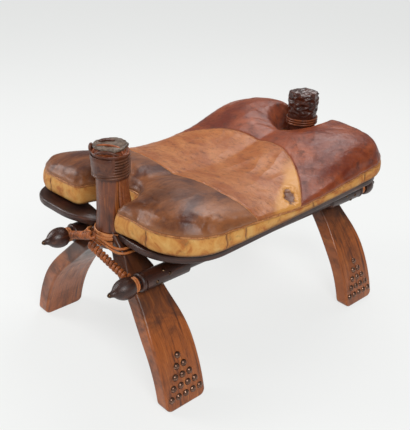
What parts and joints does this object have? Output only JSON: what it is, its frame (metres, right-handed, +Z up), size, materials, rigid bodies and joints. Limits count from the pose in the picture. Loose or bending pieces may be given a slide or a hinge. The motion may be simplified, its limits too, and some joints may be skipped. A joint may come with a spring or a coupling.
{
  "type": "camel saddle stool",
  "caption": "Low saddle stool: splayed bent legs under round leather-covered posts, turned side rails, bent seat slats and a loose leather pad with a notch at each post.",
  "frame": {"origin": "on the floor under the middle of the side rails, which is the middle of the bounding box's bottom", "axes": "+X along the side rails towards the rear post, +Y towards the left side, +Z up"},
  "size_m": [0.8304, 0.4762, 0.475],
  "materials": {
    "leg_hardwood": "oiled, semi-gloss",
    "post_hardwood": "oiled, satin",
    "rail_hardwood": "stained, semi-gloss",
    "slat_hardwood": "stained, satin",
    "peg_wood": "plain",
    "aged_brass": "aged, dark",
    "cover_leather": "worn, semi-gloss",
    "thong_leather": "worn, satin",
    "tie_cord": "twisted strips, satin",
    "pad_stuffing": "loose fibre",
    "band_leather": "stained, matte",
    "panel_leather": "worn, glossy"
  },
  "bodies": {
    "frame": {"front_crossing_peg": "peg_wood", "front_crossing_thong": "thong_leather", "front_left_leg": "leg_hardwood", "front_left_leg_nails": "aged_brass", "front_left_neck_thong": "thong_leather", "front_left_tie_whipping": "tie_cord", "front_post": "post_hardwood", "front_post_binding": "thong_leather", "front_post_cover": "cover_leather", "front_post_skirt": "cover_leather", "front_right_leg": "leg_hardwood", "front_right_leg_nails": "aged_brass", "front_right_neck_thong": "thong_leather", "front_right_tie_whipping": "tie_cord", "left_finial_knobs": "aged_brass", "left_rail": "rail_hardwood", "left_rail_studs": "aged_brass", "left_seat_slat": "slat_hardwood", "rear_crossing_peg": "peg_wood", "rear_crossing_thong": "thong_leather", "rear_left_leg": "leg_hardwood", "rear_left_leg_nails": "aged_brass", "rear_left_neck_thong": "thong_leather", "rear_left_tie_whipping": "tie_cord", "rear_post": "post_hardwood", "rear_post_binding": "thong_leather", "rear_post_cover": "cover_leather", "rear_right_leg": "leg_hardwood", "rear_right_leg_nails": "aged_brass", "rear_right_neck_thong": "thong_leather", "rear_right_tie_whipping": "tie_cord", "right_finial_knobs": "aged_brass", "right_rail": "rail_hardwood", "right_rail_studs": "aged_brass", "right_seat_slat": "slat_hardwood", "slat_pegs": "peg_wood", "tie_cores": "tie_cord"},
    "cushion": {"pad_base_leather": "band_leather", "pad_filling": "pad_stuffing", "pad_front_panel": "panel_leather", "pad_middle_panel": "panel_leather", "pad_rear_panel": "panel_leather", "pad_side_band": "band_leather"}
  },
  "joints": [
    {"name": "cushion_lift", "type": "slide", "parent": "frame", "child": "cushion", "axis": [0, 0, 1], "range_m": [0, 0.2]}
  ]
}
